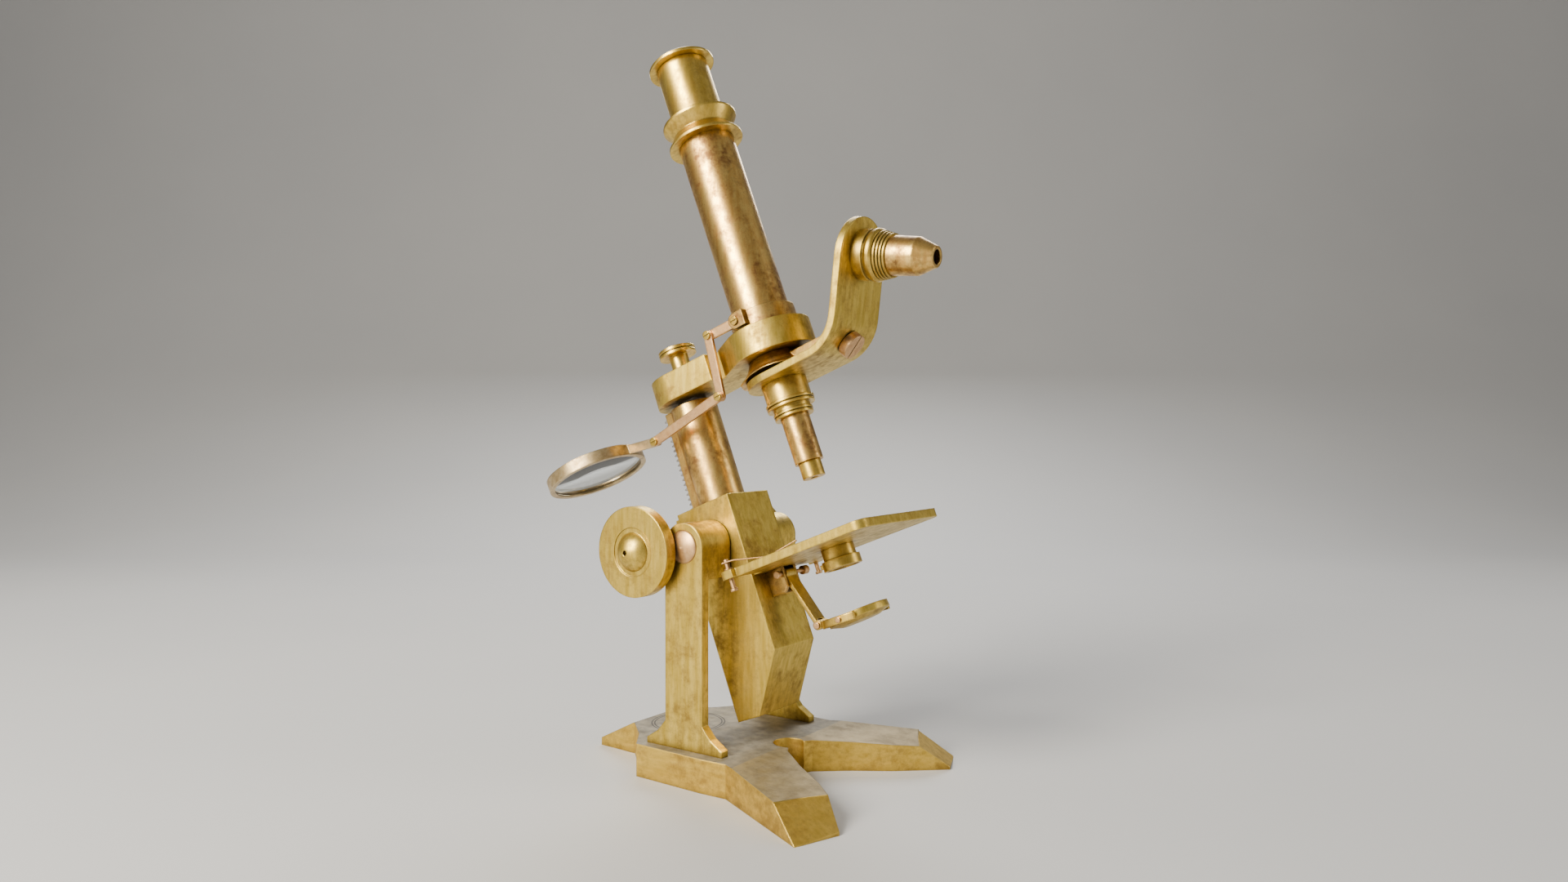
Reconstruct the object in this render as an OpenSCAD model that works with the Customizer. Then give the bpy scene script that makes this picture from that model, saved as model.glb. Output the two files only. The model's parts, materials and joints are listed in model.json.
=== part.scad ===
// Brass compound microscope: an inclining stand with a rack column, a swing-out double
// nosepiece, a mirror on a hinged arm and a jointed magnifier on the body tube.
// The row frame has its origin on the foot's underside, straight below the trunnion axis.
// +X points to the stage side, +Z up. The limb leans back by `tilt` about the trunnion, and
// everything on it is drawn in the limb frame: u forward, y across, w along the optical axis.

/* [Stand] */
// Height of the trunnion axis above the table
trunnion_h = 106.8; // [100:0.1:130]
// How far the limb leans back from upright, in degrees
tilt = 21.4; // [0:0.1:45]
// Thickness of the foot under the pillars
foot_h = 15.1; // [12:0.1:20]
// Half the width of the foot's body
foot_half_w = 42.3; // [40:0.1:50]
// Distance from the trunnion back to the tail's tip
tail_len = 72; // [60:0.5:90]
// Half the width of the tail
tail_half_w = 16; // [10:0.5:22]
// Distance from the trunnion forward to the tips of the prongs
prong_len = 90; // [84:0.5:110]
// Half the width of a pillar
pillar_half_w = 10.7; // [9:0.1:13]
// Thickness of a pillar plate
pillar_t = 4.5; // [3:0.1:6]
// Distance from the middle plane to a pillar's outer face
pillar_y = 37; // [35:0.1:42]
// Height at which the bearing boss on a pillar ends
boss_bottom = 92.5; // [85:0.5:96]
// Radius of the trunnion pins
trunnion_r = 4; // [3:0.1:5]

/* [Limb] */
// Half the width of the limb block
limb_half_w = 15.9; // [15:0.1:18]
// Front face of the limb block, ahead of the trunnion
limb_front = 16.3; // [15:0.1:20]
// Rear face of the limb block, behind the trunnion
limb_back = 15.8; // [15:0.1:18]
// Top of the limb block above the trunnion
limb_top = 18.6; // [14:0.1:26]
// Depth at which the front face starts to slope back
limb_knee = 55.5; // [48:0.5:60]
// Bottom of the limb block below the trunnion
limb_bottom = 81.5; // [76:0.5:84]
// Radius of the rack column
column_r = 11.4; // [10.5:0.1:11.8]
// Length of the rack column
column_len = 98; // [92:1:100]
// Half the width of the rail on the column
rail_half_w = 7.5; // [6:0.1:8.5]
// Half the width of the rack
rack_half_w = 5.4; // [3.5:0.1:5.6]

/* [Coarse focus] */
// Radius of the coarse-focus knobs
knob_r = 20.8; // [16:0.1:24]
// Thickness of a coarse-focus knob
knob_t = 6; // [4:0.1:8]
// Distance from the middle plane to a knob's outer face
knob_y = 45.6; // [44:0.1:52]
// Radius of the pinion shaft
shaft_r = 3; // [2.5:0.1:3.5]
// Number of teeth on the pinion
pinion_teeth = 20; // [16:1:22]
// Gear module of the pinion and the rack
gear_module = 0.8; // [0.6:0.05:0.9]

/* [Stage] */
// Front edge of the stage ahead of the trunnion
stage_front = 90.7; // [84:0.1:96]
// Rear edge of the stage
stage_back = 21.5; // [20:0.1:24]
// Half the width of the stage
stage_half_w = 34.9; // [30:0.1:40]
// Thickness of the stage plate
stage_t = 3.8; // [3:0.1:5]
// Level of the stage's underside below the trunnion
stage_level = 20.9; // [19:0.1:24]
// Radius of the light hole in the stage
stage_hole_r = 6; // [4:0.1:6.5]
// Radius of the sleeve under the stage
sleeve_r = 7.6; // [7:0.1:9]

/* [Mirror] */
// Outer radius of the mirror cell
mirror_r = 14.1; // [12:0.1:14.5]
// Level of the mirror's pivots below the trunnion
mirror_level = 52; // [50:0.5:55]
// Angle of the mirror to its yoke, in degrees
mirror_tilt = 5; // [0:0.5:15]

/* [Arm and body tube] */
// Distance from the trunnion forward to the optical axis
tube_u = 54.3; // [52:0.1:58]
// Underside of the arm above the trunnion
arm_level = 71; // [68:0.1:74]
// Height of the arm
arm_h = 13; // [11:0.1:14]
// Outer radius of the arm's ring
arm_ring_r = 20.5; // [18:0.1:23]
// Outer radius of the arm's column head
arm_head_r = 16.8; // [14:0.1:18]
// Outer radius of the body tube
tube_r = 13.5; // [12.8:0.1:14.2]
// Top of the body tube above the trunnion
tube_top = 190; // [180:1:196]
// Wall of the body tube
tube_wall = 0.7; // [0.6:0.1:1]
// Wall of the draw tube
draw_wall = 0.9; // [0.8:0.1:1.2]
// Underside of the eyepiece rim above the trunnion
rim_level = 225.4; // [222:0.1:235]
// Radius of the eyepiece rim
rim_r = 16.2; // [14:0.1:18]
// Radius of the two rims on the collar
collar_r = 18.2; // [16:0.1:20]
// Radius of the fine-focus knob
fine_knob_r = 9.2; // [8:0.1:11]

/* [Nosepiece] */
// Half the angle between the two objectives, in degrees
nose_angle = 31; // [29:0.5:33]
// Level at which the two objective axes meet
nose_centre = 125.8; // [124:0.1:128]
// Distance from that point to the outer faces of the nosepiece plate
nose_reach = 67.4; // [66:0.1:69]
// Thickness of the nosepiece plate
nose_t = 3.2; // [2.6:0.1:3.4]
// Half the width of the nosepiece plate
nose_half_w = 18.6; // [16:0.1:19]
// Outer radius of the long objective's collar
long_collar_r = 11.2; // [10:0.1:12]
// Outer radius of the long objective's barrel
long_barrel_r = 6.7; // [5.5:0.1:7.5]
// Length of the long objective below the plate
long_len = 46.3; // [42:0.1:50]
// Outer radius of the short objective's collar
short_collar_r = 11.3; // [10:0.1:12]
// Length of the short objective below the plate
short_len = 36; // [32:0.1:40]

/* [Magnifier] */
// Width of the jointed links
link_w = 4.4; // [3.5:0.1:6]
// Thickness of the jointed links
link_t = 1.5; // [1:0.1:2]
// Outer radius of the magnifier's ring
loupe_r = 25; // [20:0.1:30]
// Height of the magnifier's ring
loupe_h = 5.6; // [4:0.1:8]
// Angle of the magnifier's ring to the horizontal, in degrees
loupe_tilt = 28; // [0:1:60]

/* [Hidden] */
$fn = 96;

// Shared clearances: a running fit, a close seat and a gap that parts pass through freely.
run = 0.05;
seat = 0.02;
gap = 0.3;
far = 400;

// Small screws
small_r = 1.2;
small_head_r = 2.2;
small_head_h = 1.4;
screw_grip = 4;

// Foot
prong_slope = 0.08;
slope_start = 33;
tail_tip_h = 3.8;
tail_bevel_len = 22.8;
crotch_r = 7.5;
crotch_x = 32.4;
side_end = 28;
body_back = 24.4;
tip_out = [prong_len - 7.7, foot_half_w + 27];
tip_in = [prong_len, foot_half_w + 6.8];
bevel_mid = [prong_len - 17.1, foot_half_w + 7.5];
bevel_turn = 27;
bevel_h = foot_h - prong_slope * (bevel_mid[0] - slope_start);
bevel_fall = 35;
pillar_screw_x = 12;
pillar_screw_r = 1.9;
pillar_thread_r = 1.5;
foot_head_r = 3.6;
foot_head_h = 2.4;

// Pillars and trunnion
pillar_foot = 21.8;
pillar_foot_h = 2.6;
pillar_flare_h = 12;
boss_y = limb_half_w + 0.7;
cap_r = 7.7;
cap_h = 1.9;
journal_y = 12.3;

// Column, rail, rack and pinion
column_u = 0.5;
column_top = arm_level - 2.5;
column_bottom = column_top - column_len;
bore_bottom = -limb_knee - 0.5;
rail_back = column_u - column_r - 1.3;
rack_pitch_u = rail_back - 2.5;
tooth_pitch = PI * gear_module;
pinion_pitch_r = pinion_teeth * gear_module / 2;
pinion_u = rack_pitch_u - pinion_pitch_r;
pinion_w = 5.5;
tooth_top = 0.8 * gear_module;
tooth_root = gear_module;
rack_up = floor((column_top - pinion_w - 1.5) / tooth_pitch);
rack_down = floor((pinion_w - column_bottom - 4) / tooth_pitch);
rack_from = pinion_w - (rack_down + 0.5) * tooth_pitch;
rack_to = pinion_w + (rack_up + 0.5) * tooth_pitch;
pinion_half_w = rack_half_w - 0.4;
box_r = pinion_pitch_r + tooth_top + 2.4;
box_y = rack_half_w + gap + 3.2;
box_flange_t = 2.6;
flange_y = box_y + 6;
box_screw_y = box_y + 3.2;
knob_dome_r = 8.8;
knob_dome_h = 5;

// Fine focus
arm_top = arm_level + arm_h;
stem_half = 5.2;
stem_bottom = 22;
stem_bore = 2.6;
nut_r = 5.2;
nut_top = 8;
nut_bottom = -6;
fine_shaft_r = 4.7;
fine_thread_r = 2;
fine_knob_w = arm_top + 11;

// Stage
stage_top = stage_t - stage_level;
stage_corner = 5;
tongue_l = 2;
tongue_half_w = 14.5;
spigot_h = 1.8;
ear_r = 3.6;
clip_at = [stage_back - 3, stage_half_w - 0.9];
clip_turn = 27.5;
clip_len = 32.5;
clip_touch = 18.6;
clip_rise = 3;
clip_z = stage_top + 3.4;
leaf_t = 0.5;
leaf_half_w = 1.5;
post_r = 1.1;
bracket_screw_y = 3.2;
sleeve_end = -stage_level - 5.1;
neck_r = sleeve_r - 1.6;
ring_r = sleeve_r + 1.3;
ring_h = 4.3;

// Mirror
arm_pin_at = [limb_front + 8.3, -stage_level - 3.1];
arm_pin_r = 1;
lug_half_w = 5.6;
lug_front = limb_front + 9.7;
lug_bottom = -stage_level - 11.6;
arm_half_w = 3.7;
arm_t = 1.9;
knuckle_r = 2.2;
tab_half_w = 1.9;
yoke_r = mirror_r + 2.9;
yoke_t = 1.5;
yoke_h = 3.4;
yoke_wrap = 7;
yoke_pin_at = [tube_u - yoke_r - 3.5, 1 - mirror_level];
yoke_pin_r = 0.9;
cell_h = 3;
glass_t = 1.6;
mirror_pivot_r = 0.8;

// Arm and tubes
neck_half_w = 8.5;
neck_from = 26.5;
neck_to = 31;
arm_corner_y = 9.8;
flare_turn = 31;
mount_top = arm_level + 0.8;
spigot_r = tube_r - tube_wall - 0.3;
clip_ring_r = tube_r + 2.2;
clip_ring_h = 8;
clip_ring_w = arm_top + 0.8;
collar_w = tube_top - 6.5;
draw_bottom = 128;
draw_r = tube_r - tube_wall - 2 * run;
eyepiece_r = draw_r - draw_wall - run;
eyepiece_wall = 0.9;
eyepiece_l = 52;

// Nosepiece
nose_lip_w = 62;
nose_lip_r = 19.3;
bend_r = 22;
bend_at = (nose_reach - bend_r) / cos(nose_angle);
bend_reach = bend_at * sin(nose_angle);
apex = (nose_reach - nose_t) / cos(nose_angle);
lug_y = 7;
lobe_in = 2.2;
lug_end = bend_at + sqrt(pow(bend_r - nose_t, 2) - lug_y * lug_y) - 0.4;
pivot_r = 3;
pivot_head_r = 6;
lens_hole_r = 7;
long_bore = 5.4;
collar_end = -15.5;
cone_from = 8.3 - short_len;
short_mouth = 5;
short_seat = short_mouth + 1 - short_len;
front_lens_r = 2.6;

// Magnifier: joints in the limb frame, from the ear on the clip to the ring's stem
to_limb = [[cos(tilt), sin(tilt)], [-sin(tilt), cos(tilt)]];
ear_at = [tube_u - 2.9, clip_ring_w + 4.6];
ear_half = 3.6;
link_1_at = ear_at + to_limb * [-15.8, -5.8];
link_2_at = link_1_at + to_limb * [7.6, -28.5];
link_3_at = link_2_at + to_limb * [-38.8, -20.9];
loupe_at = link_3_at + to_limb * [-40.4, -15.6];
link_screw_r = 0.9;
link_head_r = 2;
loupe_wall = 1.4;

module limb_frame() {
    translate([0, 0, trunnion_h]) rotate([0, -tilt, 0]) children();
}

module tube_frame() {
    limb_frame() translate([tube_u, 0, 0]) children();
}

// The pivot frame sits where the objective axes meet; -z runs out along the pivot.
module pivot_frame() {
    tube_frame() translate([0, 0, nose_centre]) rotate([0, -nose_angle, 0]) children();
}

// An objective's frame: z = 0 is the plate's outer face and the objective grows towards -z.
module objective_frame(side) {
    pivot_frame() rotate([0, -side * nose_angle, 0]) translate([0, 0, -nose_reach]) children();
}

module both_sides() {
    for (side = [-1, 1]) scale([1, side, 1]) children();
}

// A rod along +y from y0 to y1.
module y_rod(r, y0, y1) {
    translate([0, y0, 0]) rotate([-90, 0, 0]) cylinder(h = y1 - y0, r = r);
}

// A flat outline in (x, z), given thickness along y from y0 to y1.
module y_plate(y0, y1) {
    translate([0, y1, 0]) rotate([90, 0, 0]) linear_extrude(y1 - y0) children();
}

module ring(r_out, r_in, z0, z1) {
    difference() {
        translate([0, 0, z0]) cylinder(h = z1 - z0, r = r_out);
        translate([0, 0, z0 - 1]) cylinder(h = z1 - z0 + 2, r = r_in);
    }
}

// A screw along -z with a cheese head above z = 0 and a driver slot.
module screw(r, length, head_r, head_h, slot = 0.6) {
    difference() {
        union() {
            translate([0, 0, -length]) cylinder(h = length, r = r);
            cylinder(h = head_h, r = head_r);
        }
        translate([-head_r - 1, -slot / 2, head_h - 0.5]) cube([2 * head_r + 2, slot, 1]);
    }
}

// A domed cap on z = 0, standing cap_h high.
module dome(r, height) {
    sphere_r = (r * r + height * height) / (2 * height);
    intersection() {
        translate([0, 0, height - sphere_r]) sphere(r = sphere_r, $fn = 256);
        cylinder(h = height + 1, r = r);
    }
}

// ---- Stand ----

module foot_half_outline() {
    difference() {
        union() {
            polygon([
                [-tail_len, 0], [-tail_len, tail_half_w - 0.5], [-48.5, tail_half_w + 0.6],
                [-body_back - 9.5, foot_half_w - 13], [-body_back, foot_half_w - 0.7],
                [side_end - 14, foot_half_w + 0.6], [side_end, foot_half_w], tip_out, tip_in,
                [prong_len - 21, 31.8], [prong_len - 37, 21.5], [crotch_x + 6, 10], [crotch_x, 0]
            ]);
            translate([side_end - 14, foot_half_w - 10]) square([14, 10]);
        }
        translate([crotch_x, 0]) circle(r = crotch_r);
    }
}

module foot_profile() {
    polygon([
        [-tail_len, 0], [-tail_len, tail_tip_h], [-tail_len + tail_bevel_len, foot_h],
        [slope_start, foot_h], [prong_len + 20, foot_h - prong_slope * (prong_len + 20 - slope_start)],
        [prong_len + 20, 0]
    ]);
}

module foot() {
    color("goldenrod")
    difference() {
        intersection() {
            linear_extrude(foot_h) union() {
                foot_half_outline();
                mirror([0, 1]) foot_half_outline();
            }
            y_plate(-far, far) foot_profile();
        }
        both_sides()
            translate([bevel_mid[0], bevel_mid[1], bevel_h])
            rotate([0, 0, bevel_turn]) rotate([0, bevel_fall, 0])
            translate([0, -60, 0]) cube([60, 120, 30]);
        pillar_screw_places() {
            cylinder(h = far, r = pillar_screw_r + seat);
            translate([0, 0, -1]) cylinder(h = foot_head_h + 1.4, r = foot_head_r + gap);
        }
    }
}

module pillar_screw_places() {
    for (side = [-1, 1], x = [-pillar_screw_x, pillar_screw_x])
        translate([x, side * (pillar_y - pillar_t / 2), 0]) children();
}

module pillar(side) {
    color("darkgoldenrod") scale([1, side, 1]) difference() {
        union() {
            y_plate(pillar_y - pillar_t, pillar_y) union() {
                polygon([
                    [-pillar_foot, foot_h], [pillar_foot, foot_h],
                    [pillar_foot, foot_h + pillar_foot_h],
                    [pillar_half_w + 4.5, foot_h + pillar_flare_h - 5.2],
                    [pillar_half_w, foot_h + pillar_flare_h], [pillar_half_w, trunnion_h],
                    [-pillar_half_w, trunnion_h], [-pillar_half_w, foot_h + pillar_flare_h],
                    [-pillar_half_w - 4.5, foot_h + pillar_flare_h - 5.2],
                    [-pillar_foot, foot_h + pillar_foot_h]
                ]);
                translate([0, trunnion_h]) circle(r = pillar_half_w);
            }
            y_plate(boss_y, pillar_y - pillar_t) union() {
                translate([-pillar_half_w, boss_bottom])
                    square([2 * pillar_half_w, trunnion_h - boss_bottom]);
                translate([0, trunnion_h]) circle(r = pillar_half_w);
            }
        }
        translate([0, 0, trunnion_h]) y_rod(trunnion_r + seat, 0, far);
        for (x = [-pillar_screw_x, pillar_screw_x])
            translate([x, pillar_y - pillar_t / 2, 0])
                cylinder(h = foot_h + 6.4, r = pillar_thread_r + seat);
    }
}

module pillar_screws() {
    color("gray") pillar_screw_places() difference() {
        union() {
            translate([0, 0, 0.4]) cylinder(h = foot_head_h, r = foot_head_r);
            translate([0, 0, 0.4]) cylinder(h = foot_h - 0.6, r = pillar_screw_r);
            translate([0, 0, 1]) cylinder(h = foot_h + 5, r = pillar_thread_r);
        }
        translate([-far, -0.4, -0.4]) cube([2 * far, 0.8, 1.6]);
    }
}

module trunnion_screws() {
    color("peru") both_sides() translate([0, 0, trunnion_h]) {
        y_rod(trunnion_r, journal_y, pillar_y + 0.1);
        translate([0, pillar_y, 0]) rotate([-90, 0, 0]) dome(cap_r, cap_h);
    }
}

module trunnion_washers() {
    color("saddlebrown") both_sides() translate([0, 0, trunnion_h]) difference() {
        y_rod(pillar_half_w - 2.5, limb_half_w + run, boss_y);
        y_rod(trunnion_r + run, 0, far);
    }
}

module left_pillar() {
    pillar(1);
}

module right_pillar() {
    pillar(-1);
}

// ---- Limb ----

module column_outline(extra) {
    union() {
        translate([column_u, 0]) circle(r = column_r + extra);
        translate([rail_back - extra, -rail_half_w - extra])
            square([column_u - rail_back, 2 * (rail_half_w + extra)]);
    }
}

module box_screw_places() {
    for (y = [-box_screw_y, box_screw_y], w = [pinion_w - 6.5, pinion_w + 6.5])
        translate([-limb_back - box_flange_t, y, w]) rotate([0, -90, 0]) children();
}

module limb_block() {
    color("darkgoldenrod") limb_frame() difference() {
        y_plate(-limb_half_w, limb_half_w) polygon([
            [-limb_back, limb_top], [limb_front, limb_top], [limb_front, -limb_knee],
            [-2.9, -limb_bottom], [-limb_back, -limb_bottom]
        ]);
        translate([0, 0, bore_bottom]) linear_extrude(far) column_outline(run);
        translate([-far, -rack_half_w - gap, bore_bottom])
            cube([far, 2 * (rack_half_w + gap), far]);
        both_sides() y_rod(trunnion_r + run, journal_y - 0.1, far);
        box_screw_places() translate([0, 0, -screw_grip]) cylinder(h = far, r = small_r + seat);
        translate([limb_front - tongue_l, -tongue_half_w - seat, -stage_level - seat])
            cube([far, 2 * (tongue_half_w + seat), stage_t + 2 * seat]);
    }
}

module pinion_box() {
    color("darkgoldenrod") limb_frame() difference() {
        union() {
            translate([pinion_u, 0, pinion_w]) y_rod(box_r, -box_y, box_y);
            translate([pinion_u, -box_y, pinion_w - box_r])
                cube([-limb_back - pinion_u, 2 * box_y, 2 * box_r]);
            translate([-limb_back - box_flange_t, -flange_y, pinion_w - box_r])
                cube([box_flange_t, 2 * flange_y, 2 * box_r]);
        }
        translate([pinion_u, 0, pinion_w]) {
            y_rod(pinion_pitch_r + tooth_top + 0.8, -rack_half_w - gap, rack_half_w + gap);
            y_rod(shaft_r + run, -far, far);
        }
        translate([pinion_u, -rack_half_w - gap, pinion_w - pinion_pitch_r - tooth_top])
            cube([far, 2 * (rack_half_w + gap), 2 * (pinion_pitch_r + tooth_top)]);
        translate([-limb_back, -far / 2, pinion_w - far / 2]) cube(far);
        box_screw_places() translate([0, 0, -far / 2]) cylinder(h = far, r = small_r + seat);
    }
}

module box_screws() {
    color("silver") limb_frame() box_screw_places()
        screw(small_r, screw_grip, small_head_r, small_head_h);
}

// ---- Stage ----

module bracket_screw_places() {
    for (y = [-bracket_screw_y, bracket_screw_y])
        translate([limb_front + 2.7, y, stage_top]) children();
}

module stage_outline() {
    difference() {
        union() {
            translate([stage_back, -stage_half_w])
                square([stage_front - stage_back - stage_corner, 2 * stage_half_w]);
            translate([stage_back, -stage_half_w + stage_corner])
                square([stage_front - stage_back, 2 * (stage_half_w - stage_corner)]);
            for (side = [-1, 1])
                translate([stage_front - stage_corner, side * (stage_half_w - stage_corner)])
                    circle(r = stage_corner);
            translate([limb_front - tongue_l, -tongue_half_w])
                square([stage_back - limb_front + tongue_l + 1, 2 * tongue_half_w]);
            for (side = [-1, 1]) {
                translate([clip_at[0], side * clip_at[1]]) circle(r = ear_r);
                translate([clip_at[0], side * clip_at[1] - ear_r])
                    square([stage_back - clip_at[0] + 1, ear_r + stage_half_w - clip_at[1]]);
            }
        }
        translate([tube_u, 0]) circle(r = stage_hole_r);
        for (side = [-1, 1]) translate([clip_at[0], side * clip_at[1]]) circle(r = post_r + run);
    }
}

module stage_plate() {
    color("goldenrod") limb_frame() difference() {
        translate([0, 0, -stage_level]) linear_extrude(stage_t) stage_outline();
        translate([tube_u, 0, -stage_level - 1]) cylinder(h = 1 + spigot_h, r = sleeve_r - 0.6);
        bracket_screw_places() {
            translate([0, 0, -10]) cylinder(h = 20, r = small_r + seat);
            translate([0, 0, -1.2]) cylinder(h = 5, r = small_head_r + seat);
        }
    }
}

module bracket_screws() {
    color("silver") limb_frame() bracket_screw_places() translate([0, 0, -1.2])
        screw(small_r, stage_t + 3, small_head_r, 1.1);
}

module substage_sleeve() {
    color("peru") tube_frame() difference() {
        union() {
            translate([0, 0, -stage_level])
                cylinder(h = spigot_h - seat, r = sleeve_r - 0.6 - seat);
            translate([0, 0, sleeve_end]) cylinder(h = -stage_level - sleeve_end, r = sleeve_r);
            translate([0, 0, sleeve_end - ring_h + 0.4]) cylinder(h = ring_h, r = neck_r);
        }
        translate([0, 0, sleeve_end - ring_h]) cylinder(h = 40, r = neck_r - 1.2);
    }
}

module stop_ring() {
    color("sienna") tube_frame() difference() {
        union() {
            translate([0, 0, sleeve_end - ring_h - 0.1]) cylinder(h = ring_h, r = ring_r);
            translate([-ring_r - 1.8, -1.7, sleeve_end - 2.6]) cube([4, 3.4, 2.2]);
        }
        translate([0, 0, sleeve_end - 20]) cylinder(h = 40, r = neck_r + run);
        translate([0, 0, sleeve_end - 20]) cylinder(h = 18.2, r = neck_r + 1.5);
    }
}

module stop_nut() {
    color("peru") tube_frame()
        ring(neck_r + 1.3, neck_r + seat, sleeve_end - ring_h + 0.5, sleeve_end - 2);
}

// One stage clip: a post through the stage's ear with a bent leaf on its top.
module clip() {
    translate([0, 0, -stage_level - 5.6]) cylinder(h = stage_t + 10.6, r = post_r);
    translate([0, 0, -stage_level - 5.6]) cylinder(h = 1.2, r = post_r + 0.6);
    translate([0, 0, stage_top + 0.1]) cylinder(h = 0.8, r = post_r + 0.9);
    rotate([0, 0, clip_turn]) y_plate(-leaf_half_w, leaf_half_w) polygon([
        [-2, clip_z], [3, clip_z], [clip_touch, stage_top + 0.05],
        [clip_len, stage_top + clip_rise], [clip_len, stage_top + clip_rise + leaf_t],
        [clip_touch, stage_top + 0.05 + leaf_t], [3.3, clip_z + leaf_t], [-2, clip_z + leaf_t]
    ]);
}

module right_clip() {
    color("darkkhaki") limb_frame() translate([clip_at[0], -clip_at[1], 0]) clip();
}

module left_clip() {
    color("darkkhaki") limb_frame() translate([clip_at[0], clip_at[1], 0])
        mirror([0, 1, 0]) clip();
}

// ---- Mirror ----

module mirror_bracket() {
    color("saddlebrown") limb_frame() difference() {
        y_plate(-lug_half_w, lug_half_w) polygon([
            [limb_front, -stage_level], [lug_front, -stage_level], [lug_front, lug_bottom + 2.4],
            [lug_front - 2.4, lug_bottom], [limb_front, lug_bottom]
        ]);
        translate([limb_front + 5.4, -arm_half_w - 0.1, lug_bottom - 1])
            cube([20, 2 * (arm_half_w + 0.1), 40]);
        translate([arm_pin_at[0], 0, arm_pin_at[1]]) y_rod(arm_pin_r + seat, -20, 20);
        bracket_screw_places() translate([0, 0, -14]) cylinder(h = 20, r = small_r + seat);
    }
}

module arm_pin() {
    color("silver") limb_frame() translate([arm_pin_at[0], 0, arm_pin_at[1]]) {
        y_rod(arm_pin_r, -lug_half_w - 3, lug_half_w + 7);
        y_rod(2.1, lug_half_w + 6, lug_half_w + 9.4);
        y_rod(1.7, -lug_half_w - 3.8, -lug_half_w - 2.4);
    }
}

// A strap between two points of the (u, w) plane, with a round knuckle at each end.
module strap_outline(from, to, r, t) {
    reach = to - from;
    union() {
        translate(from) circle(r = r);
        translate(to) circle(r = r);
        translate(from) rotate(atan2(reach[1], reach[0])) translate([0, -t / 2])
            square([norm(reach), t]);
    }
}

module mirror_arm() {
    color("goldenrod") limb_frame() difference() {
        y_plate(-arm_half_w, arm_half_w)
            strap_outline(arm_pin_at, yoke_pin_at, knuckle_r, arm_t);
        translate([arm_pin_at[0], 0, arm_pin_at[1]]) y_rod(arm_pin_r + run, -20, 20);
        translate([yoke_pin_at[0], 0, yoke_pin_at[1]]) {
            y_rod(yoke_pin_r + run, -20, 20);
            y_rod(knuckle_r + 0.5, -tab_half_w - 0.1, tab_half_w + 0.1);
        }
    }
}

module yoke_pin() {
    color("silver") limb_frame() translate([yoke_pin_at[0], 0, yoke_pin_at[1]]) {
        y_rod(yoke_pin_r, -arm_half_w - 0.6, arm_half_w + 0.6);
        y_rod(1.6, -arm_half_w - 1, -arm_half_w - 0.1);
        y_rod(1.6, arm_half_w + 0.1, arm_half_w + 1);
    }
}

module mirror_yoke() {
    color("goldenrod") tube_frame() difference() {
        union() {
            intersection() {
                ring(yoke_r, yoke_r - yoke_t, -mirror_level - yoke_h / 2, -mirror_level + yoke_h / 2);
                translate([-far, -far, -far]) cube([far + yoke_wrap, 2 * far, 2 * far]);
            }
            translate([-yoke_r - 2, -tab_half_w, -mirror_level - yoke_h / 2])
                cube([yoke_t + 2, 2 * tab_half_w, yoke_h]);
            translate([yoke_pin_at[0] - tube_u, 0, yoke_pin_at[1]])
                y_rod(knuckle_r, -tab_half_w, tab_half_w);
        }
        translate([yoke_pin_at[0] - tube_u, 0, yoke_pin_at[1]])
            y_rod(yoke_pin_r + seat, -20, 20);
        translate([0, 0, -mirror_level]) y_rod(mirror_pivot_r + run, -30, 30);
    }
}

module mirror_frame() {
    tube_frame() translate([0, 0, -mirror_level]) rotate([0, -mirror_tilt, 0]) children();
}

module mirror_pivots() {
    color("silver") mirror_frame() both_sides() {
        y_rod(mirror_pivot_r, mirror_r - 1.1, yoke_r + 0.6);
        y_rod(1.3, yoke_r + 0.1, yoke_r + 0.9);
    }
}

module mirror_cell() {
    color("darkgoldenrod") mirror_frame() difference() {
        union() {
            translate([0, 0, -cell_h / 2]) cylinder(h = cell_h, r = mirror_r);
            translate([0, 0, -cell_h / 2 - 1.5]) cylinder(h = 1.6, r1 = mirror_r - 5, r2 = mirror_r);
        }
        translate([0, 0, cell_h / 2 - glass_t - 0.3]) cylinder(h = 5, r = mirror_r - 1.2);
        both_sides() y_rod(mirror_pivot_r + seat, mirror_r - 1.7, mirror_r + 5);
    }
}

module mirror_glass() {
    color("lightblue") mirror_frame() translate([0, 0, cell_h / 2 - glass_t - 0.3])
        cylinder(h = glass_t, r = mirror_r - 1.2 - seat);
}

// ---- Coarse focus ----

module pinion_frame() {
    limb_frame() translate([pinion_u, 0, pinion_w]) children();
}

module pinion_shaft() {
    color("slategray") pinion_frame() {
        y_rod(shaft_r, -knob_y + 1.6, knob_y - 1.6);
        y_plate(-pinion_half_w, pinion_half_w) union() {
            circle(r = pinion_pitch_r - tooth_root);
            for (i = [0:pinion_teeth - 1])
                rotate((i + 0.5) * 360 / pinion_teeth) polygon([
                    [pinion_pitch_r - tooth_root - 0.4, -0.36 * tooth_pitch],
                    [pinion_pitch_r + tooth_top, -0.11 * tooth_pitch],
                    [pinion_pitch_r + tooth_top, 0.11 * tooth_pitch],
                    [pinion_pitch_r - tooth_root - 0.4, 0.36 * tooth_pitch]
                ]);
        }
    }
}

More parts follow.
